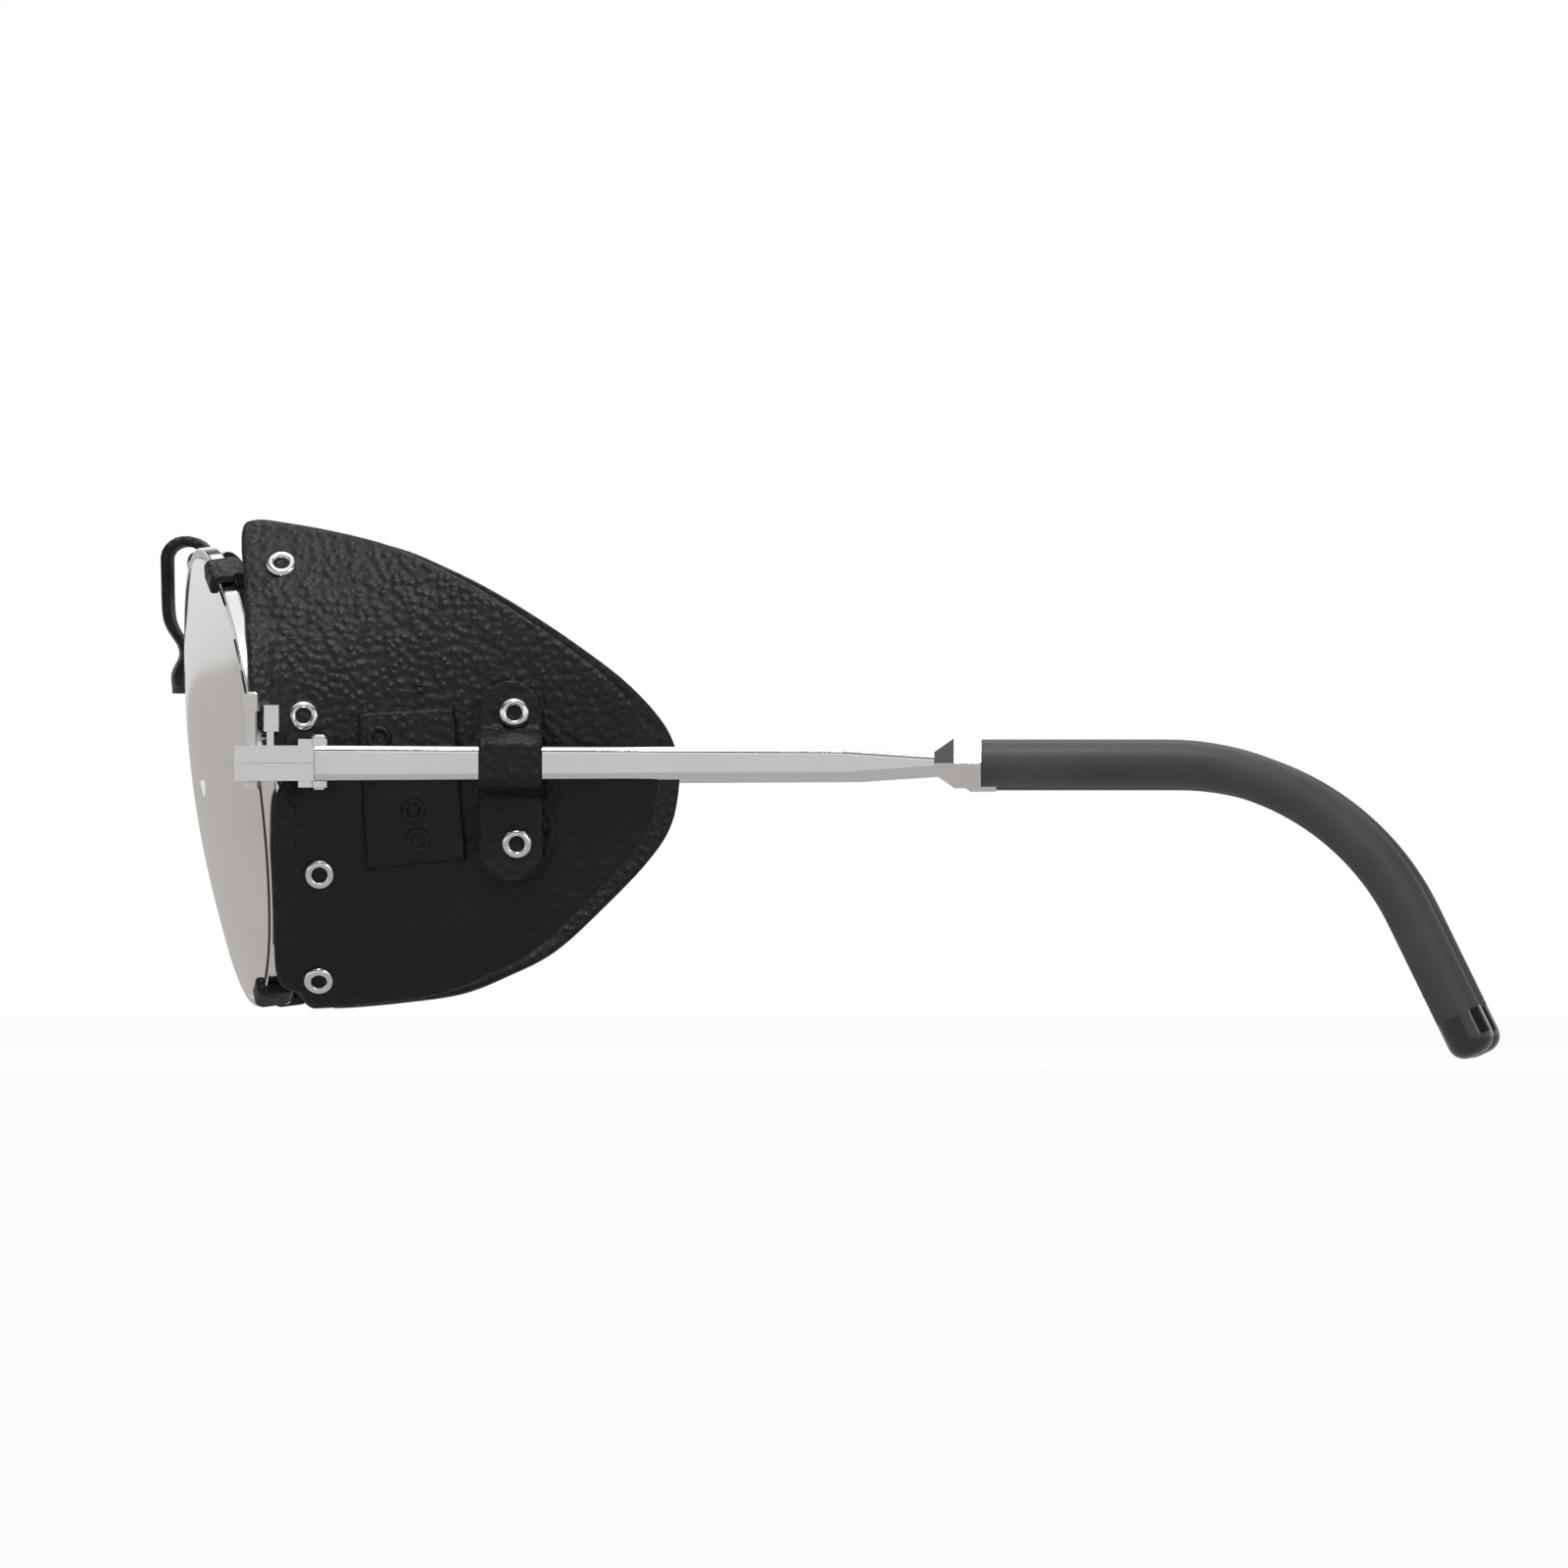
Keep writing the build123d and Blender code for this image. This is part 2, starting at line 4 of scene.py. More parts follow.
import bmesh
import bpy
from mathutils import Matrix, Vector

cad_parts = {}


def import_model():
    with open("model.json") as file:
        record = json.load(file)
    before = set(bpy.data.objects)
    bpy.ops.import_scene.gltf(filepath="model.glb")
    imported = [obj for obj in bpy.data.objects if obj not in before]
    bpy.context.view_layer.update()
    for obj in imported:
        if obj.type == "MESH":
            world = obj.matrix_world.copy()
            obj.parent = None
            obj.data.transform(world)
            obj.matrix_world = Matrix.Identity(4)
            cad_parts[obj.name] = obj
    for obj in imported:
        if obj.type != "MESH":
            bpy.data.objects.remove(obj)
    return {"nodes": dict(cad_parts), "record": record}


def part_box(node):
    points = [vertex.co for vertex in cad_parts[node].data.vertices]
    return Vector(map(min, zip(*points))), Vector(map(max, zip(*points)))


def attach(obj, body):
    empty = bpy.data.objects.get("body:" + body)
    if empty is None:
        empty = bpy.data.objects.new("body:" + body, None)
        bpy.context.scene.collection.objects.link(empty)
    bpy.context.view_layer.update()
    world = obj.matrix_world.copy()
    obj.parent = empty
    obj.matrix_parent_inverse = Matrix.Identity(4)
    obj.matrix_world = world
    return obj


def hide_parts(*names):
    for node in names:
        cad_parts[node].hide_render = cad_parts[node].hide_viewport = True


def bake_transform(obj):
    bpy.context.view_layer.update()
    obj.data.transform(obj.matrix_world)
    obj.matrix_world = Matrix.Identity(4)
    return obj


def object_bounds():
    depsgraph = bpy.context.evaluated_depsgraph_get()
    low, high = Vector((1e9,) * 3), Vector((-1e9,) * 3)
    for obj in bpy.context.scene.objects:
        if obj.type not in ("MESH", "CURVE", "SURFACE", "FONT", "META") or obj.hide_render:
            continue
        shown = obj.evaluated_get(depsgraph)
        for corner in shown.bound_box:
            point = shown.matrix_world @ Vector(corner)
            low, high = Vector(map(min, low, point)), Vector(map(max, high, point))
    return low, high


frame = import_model()
cad_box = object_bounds()

MM = 0.001
SIDES = {"left": 1, "right": -1}

# Sizes of the leather and the rim, as in the CAD model
LEATHER = 1.2 * MM
RIM_OUTER = 26.3 * MM
RIM_DEPTH = 1.7 * MM
WRAP = math.radians(9.5)
TILT = math.radians(7.3)
SHIELD_FRONT = 9.2 * MM
SHIELD_REACH = 38.6 * MM
SHIELD_INSETS = (4.6 * MM, 1.6 * MM)
SHIELD_ROUNDS = (35.5 * MM, 160.0 * MM)

# Places read from the frame
HINGE = {}
for joint in frame["record"]["behaviour"]["joints"]:
    HINGE[joint["child"].split("_")[0]] = Vector(joint["pos_m"])
HINGE_X = HINGE["left"].x
HINGE_Y = HINGE["left"].y
ARM_Z = HINGE["left"].z
RIM_LOW, RIM_HIGH = (Vector(corner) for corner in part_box("left_rim"))
RIM_X = (RIM_LOW.x + RIM_HIGH.x) / 2
RIM_Y = (RIM_LOW.y + RIM_HIGH.y) / 2
RIM_Z = (RIM_LOW.z + RIM_HIGH.z) / 2


# ---------------------------------------------------------------- materials
def new_material(name):
    material = bpy.data.materials.new(name)
    material.use_nodes = True
    nodes = material.node_tree.nodes
    return material, nodes, material.node_tree.links, nodes["Principled BSDF"]


def coordinates(nodes, links, scale):
    place = nodes.new("ShaderNodeTexCoord")
    mapping = nodes.new("ShaderNodeMapping")
    mapping.inputs["Scale"].default_value = scale
    links.new(place.outputs["Object"], mapping.inputs["Vector"])
    return mapping.outputs["Vector"]


def noise(nodes, links, where, scale, detail=3.0, rough=0.55):
    texture = nodes.new("ShaderNodeTexNoise")
    texture.inputs["Scale"].default_value = scale
    texture.inputs["Detail"].default_value = detail
    texture.inputs["Roughness"].default_value = rough
    links.new(where, texture.inputs["Vector"])
    return texture.outputs["Fac"]


def ramp(nodes, links, factor, stops):
    """A colour ramp from (position, colour) stops."""
    node = nodes.new("ShaderNodeValToRGB")
    band = node.color_ramp
    while len(band.elements) < len(stops):
        band.elements.new(0.5)
    for element, (position, colour) in zip(band.elements, stops):
        element.position = position
        element.color = (*colour, 1.0)
    links.new(factor, node.inputs["Fac"])
    return node.outputs["Color"]


def spread(nodes, links, factor, low, high):
    node = nodes.new("ShaderNodeMapRange")
    node.inputs["To Min"].default_value = low
    node.inputs["To Max"].default_value = high
    links.new(factor, node.inputs["Value"])
    return node.outputs["Result"]


def bump(nodes, links, height, distance, strength=1.0, base=None):
    node = nodes.new("ShaderNodeBump")
    node.inputs["Strength"].default_value = strength
    node.inputs["Distance"].default_value = distance
    links.new(height, node.inputs["Height"])
    if base is not None:
        links.new(base, node.inputs["Normal"])
    return node.outputs["Normal"]


def leather_material():
    """Black hide: pebbled grain, fine pores and slightly worn high spots."""
    material, nodes, links, shader = new_material("black_leather")
    where = coordinates(nodes, links, (1.0, 1.0, 1.0))
    cells = nodes.new("ShaderNodeTexVoronoi")
    cells.feature = "SMOOTH_F1"
    cells.inputs["Scale"].default_value = 1150.0
    cells.inputs["Smoothness"].default_value = 0.6
    links.new(where, cells.inputs["Vector"])
    folds = noise(nodes, links, where, 260.0, 4.0)
    pores = noise(nodes, links, where, 3400.0, 2.0)
    patches = noise(nodes, links, where, 70.0, 3.0)
    grain = nodes.new("ShaderNodeMath")
    grain.operation = "MULTIPLY_ADD"
    grain.inputs[1].default_value = -0.8
    links.new(cells.outputs["Distance"], grain.inputs[0])
    links.new(folds, grain.inputs[2])
    colour = ramp(nodes, links, patches,
                  ((0.3, (0.0035, 0.0035, 0.004)), (0.72, (0.0085, 0.008, 0.008))))
    links.new(colour, shader.inputs["Base Color"])
    links.new(spread(nodes, links, cells.outputs["Distance"], 0.40, 0.62), shader.inputs["Roughness"])
    first = bump(nodes, links, grain.outputs[0], 0.00030, 1.0)
    links.new(bump(nodes, links, pores, 0.00003, 0.5, first), shader.inputs["Normal"])
    shader.inputs["Specular IOR Level"].default_value = 0.30
    return material


def chrome_material(name, colour, rough, scratch):
    """Polished plating: faint smears in the gloss and hairline wear."""
    material, nodes, links, shader = new_material(name)
    where = coordinates(nodes, links, (1.0, 1.0, 1.0))
    smear = noise(nodes, links, where, 90.0, 4.0)
    hair = noise(nodes, links, coordinates(nodes, links, (1.0, 0.08, 1.0)), 5200.0, 2.0)
    tone = ramp(nodes, links, smear, ((0.25, tuple(0.93 * c for c in colour)), (0.75, colour)))
    links.new(tone, shader.inputs["Base Color"])
    links.new(spread(nodes, links, smear, rough, rough + 0.09), shader.inputs["Roughness"])
    links.new(bump(nodes, links, hair, 0.000004, scratch), shader.inputs["Normal"])
    shader.inputs["Metallic"].default_value = 1.0
    return material


def lens_material():
    """Silver flash mirror outside, dark smoked lens inside."""
    material, nodes, links, shader = new_material("mirror_lens")
    where = coordinates(nodes, links, (1.0, 1.0, 1.0))
    haze = noise(nodes, links, where, 60.0, 3.0)
    links.new(ramp(nodes, links, haze, ((0.2, (0.78, 0.77, 0.75)), (0.8, (0.86, 0.86, 0.85)))),
              shader.inputs["Base Color"])
    links.new(spread(nodes, links, haze, 0.06, 0.11), shader.inputs["Roughness"])
    shader.inputs["Metallic"].default_value = 1.0
    inside = nodes.new("ShaderNodeBsdfPrincipled")
    links.new(ramp(nodes, links, haze, ((0.2, (0.030, 0.022, 0.016)), (0.8, (0.048, 0.034, 0.024)))),
              inside.inputs["Base Color"])
    inside.inputs["Roughness"].default_value = 0.08
    geometry = nodes.new("ShaderNodeNewGeometry")
    split = nodes.new("ShaderNodeSeparateXYZ")
    links.new(geometry.outputs["Normal"], split.inputs["Vector"])
    rear = nodes.new("ShaderNodeMath")
    rear.operation = "GREATER_THAN"
    rear.inputs[1].default_value = 0.05
    links.new(split.outputs["Y"], rear.inputs[0])
    mix = nodes.new("ShaderNodeMixShader")
    links.new(rear.outputs[0], mix.inputs["Fac"])
    links.new(shader.outputs[0], mix.inputs[1])
    links.new(inside.outputs[0], mix.inputs[2])
    links.new(mix.outputs[0], nodes["Material Output"].inputs["Surface"])
    return material


def plastic_material(name, dark, light, rough, grain, coat=0.0):
    """Moulded rubber or plastic with a fine skin texture."""
    material, nodes, links, shader = new_material(name)
    where = coordinates(nodes, links, (1.0, 1.0, 1.0))
    tone = noise(nodes, links, where, 120.0, 3.0)
    skin = noise(nodes, links, where, 2600.0, 3.0)
    links.new(ramp(nodes, links, tone, ((0.3, dark), (0.7, light))), shader.inputs["Base Color"])
    links.new(spread(nodes, links, skin, rough - 0.05, rough + 0.07), shader.inputs["Roughness"])
    links.new(bump(nodes, links, skin, grain, 0.6), shader.inputs["Normal"])
    shader.inputs["Coat Weight"].default_value = coat
    return material


LEATHER_LOOK = leather_material()
CHROME_LOOK = chrome_material("bright_chrome", (0.84, 0.84, 0.85), 0.07, 0.2)
STEEL_LOOK = chrome_material("screw_steel", (0.72, 0.71, 0.70), 0.16, 0.5)
EYELET_LOOK = chrome_material("eyelet_steel", (0.80, 0.80, 0.81), 0.10, 0.3)
LENS_LOOK = lens_material()
RUBBER_LOOK = plastic_material("matte_rubber", (0.034, 0.034, 0.035), (0.045, 0.045, 0.046), 0.52, 0.00002)
CAP_LOOK = plastic_material("gloss_black_cap", (0.006, 0.006, 0.006), (0.012, 0.012, 0.012), 0.12,
                            0.000004, 0.5)
PAD_LOOK = plastic_material("silicone_pad", (0.62, 0.62, 0.60), (0.72, 0.72, 0.70), 0.28, 0.000006, 0.3)


def look_of(node):
    for words, look in (("lens", LENS_LOOK), ("eyelets", EYELET_LOOK), ("screw", STEEL_LOOK),
                        ("core_wire", STEEL_LOOK), ("sleeve", RUBBER_LOOK), ("cap", CAP_LOOK),
                        ("nose_pad", PAD_LOOK)):
        if words in node:
            return look
    return CHROME_LOOK


def dress_nodes():
    for name, piece in frame["nodes"].items():
        piece.data.materials.clear()
        piece.data.materials.append(look_of(name))


# ---------------------------------------------------------------- mesh helpers
def make_piece(name, points, faces, look, smooth=True):
    mesh = bpy.data.meshes.new(name)
    mesh.from_pydata([tuple(p) for p in points], [], faces)
    mesh.update()
    mesh.materials.append(look)
    piece = bpy.data.objects.new(name, mesh)
    bpy.context.scene.collection.objects.link(piece)
    for face in mesh.polygons:
        face.use_smooth = smooth
    return piece


def recalculate(piece):
    """Turns every face of a closed piece outwards."""
    work = bmesh.new()
    work.from_mesh(piece.data)
    bmesh.ops.recalc_face_normals(work, faces=work.faces)
    work.to_mesh(piece.data)
    work.free()


def closed_curve(corners, steps):
    """Points of a smooth closed curve through the given corners."""
    count = len(corners)
    points = []
    for i in range(count):
        a, b, c, d = (Vector(corners[(i + k - 1) % count]) for k in range(4))
        for j in range(steps):
            t = j / steps
            points.append(0.5 * (2 * b + (c - a) * t + (2 * a - 5 * b + 4 * c - d) * t**2
                                 + (3 * b - a - 3 * c + d) * t**3))
    return points


def slab_faces(rows, columns):
    """Faces of a slab: two grids of points, one after the other, and the edge that joins them."""
    size = (rows + 1) * (columns + 1)
    faces = []
    for start in (0, size):
        for row in range(rows):
            for column in range(columns):
                a = start + row * (columns + 1) + column
                faces.append((a, a + 1, a + columns + 2, a + columns + 1))
    border = list(range(columns + 1))
    border += [row * (columns + 1) + columns for row in range(1, rows + 1)]
    border += [rows * (columns + 1) + column for column in range(columns - 1, -1, -1)]
    border += [row * (columns + 1) for row in range(rows - 1, 0, -1)]
    for i, a in enumerate(border):
        b = border[(i + 1) % len(border)]
        faces.append((a, b, b + size, a + size))
    return faces


def smooth_step(value, low, high):
    t = min(max((value - low) / (high - low), 0.0), 1.0)
    return t * t * (3 - 2 * t)


# ---------------------------------------------------------------- leather shields
# Outline in millimetres behind the hinge and above the rim's centre
SHIELD_OUTLINE = ((-9.2, 27.0), (-7.7, 28.4), (-3.7, 28.1), (1.7, 27.2), (7.0, 25.9), (11.0, 24.3),
                  (16.3, 21.8), (21.7, 18.7), (27.0, 15.2), (32.3, 11.2), (36.3, 7.0),
                  (38.1, 3.6), (38.6, 0.2), (37.7, -5.1), (35.0, -9.4), (29.7, -14.9),
                  (24.3, -19.7), (19.0, -22.4), (13.7, -24.4), (7.0, -25.3), (0.3, -25.8),
                  (-1.5, -25.6), (-2.7, -24.2), (-5.0, -22.6), (-5.4, -17.0), (-5.5, -10.0),
                  (-5.5, -3.6), (-5.0, -1.4), (-3.9, -0.2), (-3.6, 1.4), (-3.9, 3.2), (-5.4, 4.2),
                  (-7.2, 5.4), (-8.0, 8.4), (-8.5, 15.0), (-8.8, 21.0))
SHIELD_RINGS = 26
RING_SPREAD = 1.35       # above 1, the rings crowd towards the edge
LIE = 0.02 * MM          # what lies on the leather starts this far above it


def lens_axis(side):
    return Vector((side * math.sin(WRAP) * math.cos(TILT), -math.cos(WRAP) * math.cos(TILT),
                   -math.sin(TILT)))


def rim_centre(side):
    return Vector((side * RIM_X, RIM_Y, RIM_Z))


def shield_point(side, behind, height, lift):
    """A point on the shield's inner face, lifted outwards by a thickness."""
    share = (behind + SHIELD_FRONT) / (SHIELD_FRONT + SHIELD_REACH)
    inset = SHIELD_INSETS[0] + (SHIELD_INSETS[1] - SHIELD_INSETS[0]) * share
    falls = [r - math.sqrt(r * r - height * height) for r in SHIELD_ROUNDS]
    slopes = [math.asin(height / r) for r in SHIELD_ROUNDS]
    fall = falls[0] + (falls[1] - falls[0]) * share
    slope = slopes[0] + (slopes[1] - slopes[0]) * share
    point = Vector((side * (HINGE_X - inset - fall), HINGE_Y + behind, RIM_Z + height))
    outward = Vector((side * math.cos(slope), 0, math.sin(slope)))
    return clear_rim(side, point + outward * lift, lift)


def clear_rim(side, point, lift):
    """Pushes a point out of the rim, so that the leather lies over it."""
    axis = lens_axis(side)
    offset = point - rim_centre(side)
    along = offset.dot(axis)
    radial = offset - axis * along
    least = RIM_OUTER + 0.35 * MM + lift
    near = smooth_step(along, -4.2 * MM, -1.3 * MM)
    if radial.length < least:
        point = point + radial.normalized() * (least - radial.length) * near
    return point


def sag(behind, height):
    """Small dents and swells of a hide that has been worn."""
    return 0.10 * MM * (math.sin(behind / (5.1 * MM) + 1.3) * math.sin(height / (6.7 * MM) + 0.4))


def shield(name, side):
    rim = closed_curve([(a * MM, b * MM) for a, b in SHIELD_OUTLINE], 6)
    centre = Vector((13.0 * MM, 0.5 * MM))
    count = len(rim)
    sheets = []
    points = []
    for full, edge in ((LEATHER, 0.78), (0.0, 0.22)):
        start = len(points)
        for ring in range(1, SHIELD_RINGS + 1):
            share = 1 - (1 - ring / SHIELD_RINGS) ** RING_SPREAD
            for spot in rim:
                place = centre + (spot - centre) * share
                lift = full
                if ring == SHIELD_RINGS:
                    lift = LEATHER * edge
                points.append(shield_point(side, place.x, place.y, lift + sag(place.x, place.y)))
        points.append(shield_point(side, centre.x, centre.y, full + sag(centre.x, centre.y)))
        sheets.append((start, len(points) - 1))
    faces = []
    for start, hub in sheets:
        for i in range(count):
            faces.append((hub, start + i, start + (i + 1) % count))
        for ring in range(SHIELD_RINGS - 1):
            for i in range(count):
                a = start + ring * count + i
                b = start + ring * count + (i + 1) % count
                faces.append((a, a + count, b + count, b))
    last = (SHIELD_RINGS - 1) * count
    for i in range(count):
        j = (i + 1) % count
        faces.append((sheets[0][0] + last + i, sheets[1][0] + last + i,
                      sheets[1][0] + last + j, sheets[0][0] + last + j))
    piece = make_piece(f"{name}_leather_shield", points, faces, LEATHER_LOOK)
    recalculate(piece)
    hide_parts(f"{name}_side_shield")
    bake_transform(piece)


def patch(name, side, outline, base, height, look, rings=5):
    """A flat leather piece lying on the shield, with a rounded edge, from its outline."""
    rim = closed_curve([(a * MM, b * MM) for a, b in outline], 6)
    centre = sum(rim, Vector((0, 0))) / len(rim)
    count = len(rim)
    points = []
    levels = [(1.0, 0.0), (1.0, 0.55)]
    levels += [(1.0 - 0.06 * k / rings, 0.55 + 0.45 * math.sin(math.pi / 2 * k / rings))
               for k in range(1, rings + 1)]
    levels += [(0.75, 1.0), (0.5, 1.0), (0.25, 1.0)]
    for share, level in levels:
        for spot in rim:
            place = centre + (spot - centre) * share
            lift = base + height * level
            points.append(shield_point(side, place.x, place.y, lift))
    points.append(shield_point(side, centre.x, centre.y, base + height))
    points.append(shield_point(side, centre.x, centre.y, base))
    top, bottom = len(points) - 2, len(points) - 1
    faces = [(bottom, (i + 1) % count, i) for i in range(count)]
    for ring in range(len(levels) - 1):
        for i in range(count):
            a = ring * count + i
            b = ring * count + (i + 1) % count
            faces.append((a, b, b + count, a + count))
    last = (len(levels) - 1) * count
    faces += [(last + i, last + (i + 1) % count, top) for i in range(count)]
    piece = make_piece(name, points, faces, look)
    recalculate(piece)
    return piece


def ring_piece(name, origin, normal, radius, tube, look, flatten=0.6):
    """A raised ring lying on a surface."""
    across = normal.cross(Vector((0, 1, 0))).normalized()
    up = normal.cross(across)
    points, faces = [], []
    around, section = 40, 12
    for i in range(around):
        turn = 2 * math.pi * i / around
        out = across * math.cos(turn) + up * math.sin(turn)
        for j in range(section):
            roll = 2 * math.pi * j / section
            points.append(origin + out * (radius + tube * math.cos(roll))
                          + normal * tube * flatten * math.sin(roll))
    for i in range(around):
        for j in range(section):
            a, b = i * section, ((i + 1) % around) * section
            k = (j + 1) % section
            faces.append((a + j, b + j, b + k, a + k))
    piece = make_piece(name, points, faces, look)
    recalculate(piece)
    return piece


PANEL = ((4.3, 6.2), (5.0, 6.9), (9.6, 7.2), (14.6, 7.5), (15.3, 6.9), (15.9, -0.8), (16.5, -8.6),
         (15.8, -9.3), (10.9, -9.7), (6.1, -10.2), (5.3, -9.6), (4.8, -1.7))
STUDS = ((6.7, 4.1, 1.35), (10.6, -3.8, 1.3), (11.1, -7.1, 1.35))
VENTS = ((4.3, 14.3), (11.4, 9.7), (13.3, -11.2), (6.9, -16.7))
PANEL_HEIGHT = 0.80 * MM
STUD_TUBE = 0.36 * MM
VENT_RADIUS = 0.42 * MM
VENT_TUBE = 0.14 * MM


def panel(name, side):
    """The embossed window on the shield with its three plain studs and the small vents."""
    base = LEATHER + LIE
    sheet = patch(f"{name}_embossed_panel", side, PANEL, base, PANEL_HEIGHT, LEATHER_LOOK)
    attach(sheet, f"{name}_temple")
    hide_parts(f"{name}_vent_panel")
    for index, (behind, height, radius) in enumerate(STUDS):
        low = shield_point(side, behind * MM, height * MM, base + PANEL_HEIGHT + LIE)
        high = shield_point(side, behind * MM, height * MM, base + PANEL_HEIGHT + LIE + MM)
        stud = ring_piece(f"{name}_panel_ring_{index}", low, (high - low).normalized(),
                          radius * 0.80 * MM, STUD_TUBE, LEATHER_LOOK, 0.9)
        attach(stud, f"{name}_temple")
    for index, (behind, height) in enumerate(VENTS):
        low = shield_point(side, behind * MM, height * MM, LEATHER + LIE)
        high = shield_point(side, behind * MM, height * MM, LEATHER + 1.0 * MM)
        vent = ring_piece(f"{name}_vent_{index}", low, (high - low).normalized(), VENT_RADIUS,
                          VENT_TUBE, LEATHER_LOOK)
        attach(vent, f"{name}_temple")


# ---------------------------------------------------------------- eyelets
# Sections in millimetres: (radius, height above the face that the flange lies on)
EYELET_TOP = ((0.82, 0.10), (0.90, 0.34), (1.06, 0.50), (1.28, 0.52), (1.50, 0.42),
              (1.68, 0.22), (1.76, 0.02), (1.70, -0.06))
EYELET_TUBE = 1.10
EYELET_BACK = ((1.66, -0.05), (1.60, -0.30), (1.20, -0.42), (0.86, -0.25))
FRONT_EYELETS = ((-4.6, 23.3), (-1.9, 6.6), (-0.1, -10.9), (-0.3, -22.6))
STRAP_EYELETS = ((22.1, 6.8), (22.4, -7.4))
STRAP_LIFT = 3.35 * MM   # from the shield's inner face to the strap's outer one


def lathe(name, origin, axis, profile, look, steps=36):
    """A turned piece from (radius, height) pairs in millimetres; its profile is closed."""
    across = axis.cross(Vector((0, 1, 0))).normalized()
    up = axis.cross(across)
    points, faces = [], []
    for i in range(steps):
        turn = 2 * math.pi * i / steps
        out = across * math.cos(turn) + up * math.sin(turn)
        points += [origin + out * radius * MM + axis * height * MM for radius, height in profile]
    count = len(profile)
    for i in range(steps):
        for j in range(count):
            a, b, k = i * count, ((i + 1) % steps) * count, (j + 1) % count
            faces.append((a + j, b + j, b + k, a + k))
    piece = make_piece(name, points, faces, look)
    recalculate(piece)
    return piece


def eyelets(name, side, group, spots, outer_lift, body):
    """Rolled-edge eyelets: a domed flange outside, its tube, and a smaller flange inside."""
    pieces = []
    for index, (behind, height) in enumerate(spots):
        inner = shield_point(side, behind * MM, height * MM, 0.0)
        probe = shield_point(side, behind * MM, height * MM, LEATHER)
        axis = (probe - inner).normalized()
        rise = outer_lift / MM
        profile = [(radius, rise + level) for radius, level in EYELET_TOP]
        profile += [(EYELET_TUBE, rise - 0.10), (EYELET_TUBE, 0.05), *EYELET_BACK]
        pieces.append(lathe(f"{name}_{group}_eyelet_{index}", inner, axis, profile, EYELET_LOOK))
        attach(pieces[-1], body)
    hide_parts(f"{name}_{group}_eyelets")


# ---------------------------------------------------------------- temple straps
STRAP_FRONT = 18.1 * MM
STRAP_WIDTH = 7.2 * MM
STRAP_ENDS = (9.4 * MM, -13.5 * MM)
BAND_FLAT = 0.30 * MM    # the strap's ends, outside the hinge axis
BAND_PROUD = 4.5 * MM    # its bulge over the arm
BAND_FALL = (2.1 * MM, 4.3 * MM)


def band_section(side, height):
    """Outer face of the strap across its length, bulging over the arm."""
    flat = HINGE_X + BAND_FLAT
    proud = HINGE_X + BAND_PROUD
    rise = 1.0 - smooth_step(abs(height), *BAND_FALL)
    return flat + (proud - flat) * rise


def strap(name, side):
    """The loop that holds the shield to the arm, with rounded ends."""
    points = []
    rows, columns = 60, 14
    length = STRAP_ENDS[0] - STRAP_ENDS[1]
    half = STRAP_WIDTH / 2
    for drop in (0.0, LEATHER):
        for row in range(rows + 1):
            height = STRAP_ENDS[0] - length * row / rows
            end = min(STRAP_ENDS[0] - height, height - STRAP_ENDS[1])
            narrow = math.sqrt(max(1 - (1 - min(end / half, 1.0)) ** 2, 0.0))
            narrow = max(narrow, 0.12)
            for column in range(columns + 1):
                across = -1 + 2 * column / columns
                round_off = 0.16 * LEATHER * abs(across) ** 6
                x = band_section(side, height) - drop + (round_off if drop else -round_off)
                y = HINGE_Y + STRAP_FRONT + half + across * half * narrow
                points.append((side * x, y, ARM_Z + height))
    piece = make_piece(f"{name}_leather_strap", points, slab_faces(rows, columns), LEATHER_LOOK)
    recalculate(piece)
    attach(piece, f"{name}_temple")
    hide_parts(f"{name}_temple_strap")


# ---------------------------------------------------------------- rim loops
LOOP_ANGLES = {"upper": 61.0, "lower": -69.0}
LOOP_HALF_ARC = 4.6


def rim_loop(name, side, key, angle):
    """A leather loop over the rim, its section hugging the wire."""
    axis = lens_axis(side)
    upright = Vector((0, 0, 1)) - axis * axis.z
    upright.normalize()
    outward = upright.cross(axis) * side
    if outward.x * side < 0:
        outward = -outward
    inner = RIM_OUTER - 1.05 * MM
    outer = RIM_OUTER + 0.25 * MM
    half = RIM_DEPTH / 2 + 0.25 * MM
    thick = 1.05 * MM
    section = [(inner, half), (outer, half), (outer, -half), (inner, -half),
               (inner, -half - thick), (outer + thick * 0.5, -half - thick),
               (outer + thick, -half - thick * 0.4), (outer + thick, half + thick * 0.4),
               (outer + thick * 0.5, half + thick), (inner, half + thick)]
    steps = 12
    points, faces = [], []
    for step in range(steps + 1):
        share = -1 + 2 * step / steps
        turn = math.radians(angle + LOOP_HALF_ARC * share)
        pinch = 1 - 0.05 * share**6
        out = outward * math.cos(turn) + upright * math.sin(turn)
        for radius, forward in section:
            points.append(rim_centre(side) + out * radius * (1 - 0.002 * share**6)
                          + axis * forward * pinch)
    count = len(section)
    for step in range(steps):
        for i in range(count):
            a = step * count + i
            b = step * count + (i + 1) % count
            faces.append((a, b, b + count, a + count))
    faces.append(tuple(range(count)))
    faces.append(tuple(steps * count + i for i in reversed(range(count))))
    piece = make_piece(f"{name}_{key}_leather_loop", points, faces, LEATHER_LOOK)
    bevel = piece.modifiers.new("edges", "BEVEL")
    bevel.width = 0.42 * MM
    bevel.segments = 4
    bevel.limit_method = "ANGLE"
    recalculate(piece)
    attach(piece, "front")
    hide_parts(f"{name}_{key}_rim_loop")


